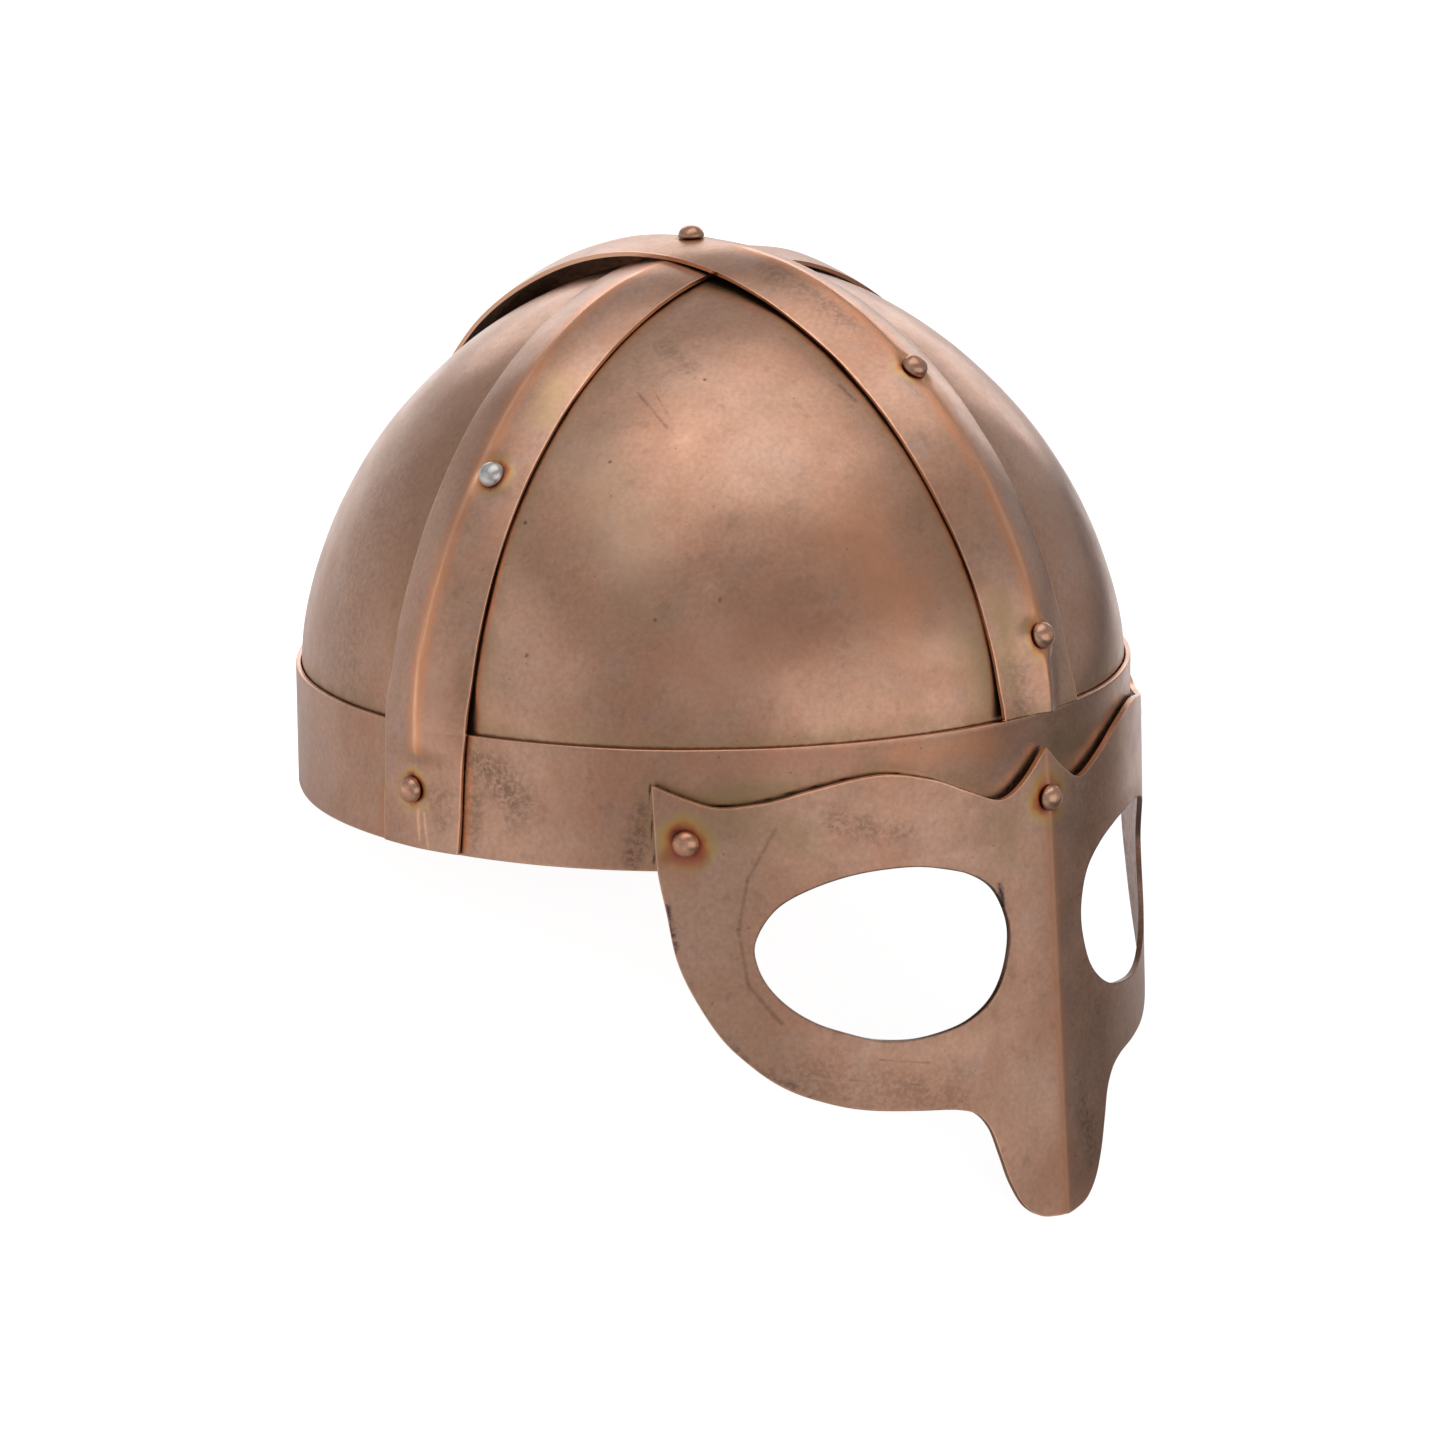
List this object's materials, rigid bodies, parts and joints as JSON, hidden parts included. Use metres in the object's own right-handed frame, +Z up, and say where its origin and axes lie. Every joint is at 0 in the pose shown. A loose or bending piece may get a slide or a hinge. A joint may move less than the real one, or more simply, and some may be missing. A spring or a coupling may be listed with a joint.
{
  "type": "norse spectacle helmet",
  "caption": "Rounded sheet-metal helmet of riveted plates with crossed ridged straps, a brow band and a spectacle mask with a long nasal.",
  "frame": {"origin": "middle of the bounding box at the level of the surface the helmet lies on", "axes": "+Z up, the face towards -Y and tipped up, the wearer's left towards +X; the helmet lies tipped back by 23.7 degrees"},
  "size_m": [0.2378, 0.291, 0.1919],
  "materials": {
    "skull": "steel with an antique copper finish, satin, darker towards the edges",
    "band": "steel with an antique copper finish, satin, dark mottling",
    "strap": "steel with an antique copper finish, satin, bright wear on the ridge and edges",
    "mask": "steel with an antique copper finish, satin, tide marks round the eye holes",
    "rivet": "steel dome heads with a thin copper finish, smooth, one of them worn bare"
  },
  "bodies": {
    "root": {"skull_plate_front_right": "skull", "skull_plate_front_left": "skull", "skull_plate_rear_right": "skull", "skull_plate_rear_left": "skull", "brow_band": "band", "crest_strap": "strap", "side_strap": "strap", "spectacle_mask": "mask", "rivet_crown": "rivet", "rivet_crest_front_upper": "rivet", "rivet_crest_front_lower": "rivet", "rivet_crest_rear_upper": "rivet", "rivet_crest_rear_lower": "rivet", "rivet_side_right_upper": "rivet", "rivet_side_right_lower": "rivet", "rivet_side_left_upper": "rivet", "rivet_side_left_lower": "rivet", "rivet_mask_centre": "rivet", "rivet_mask_right": "rivet", "rivet_mask_left": "rivet"}
  },
  "joints": []
}
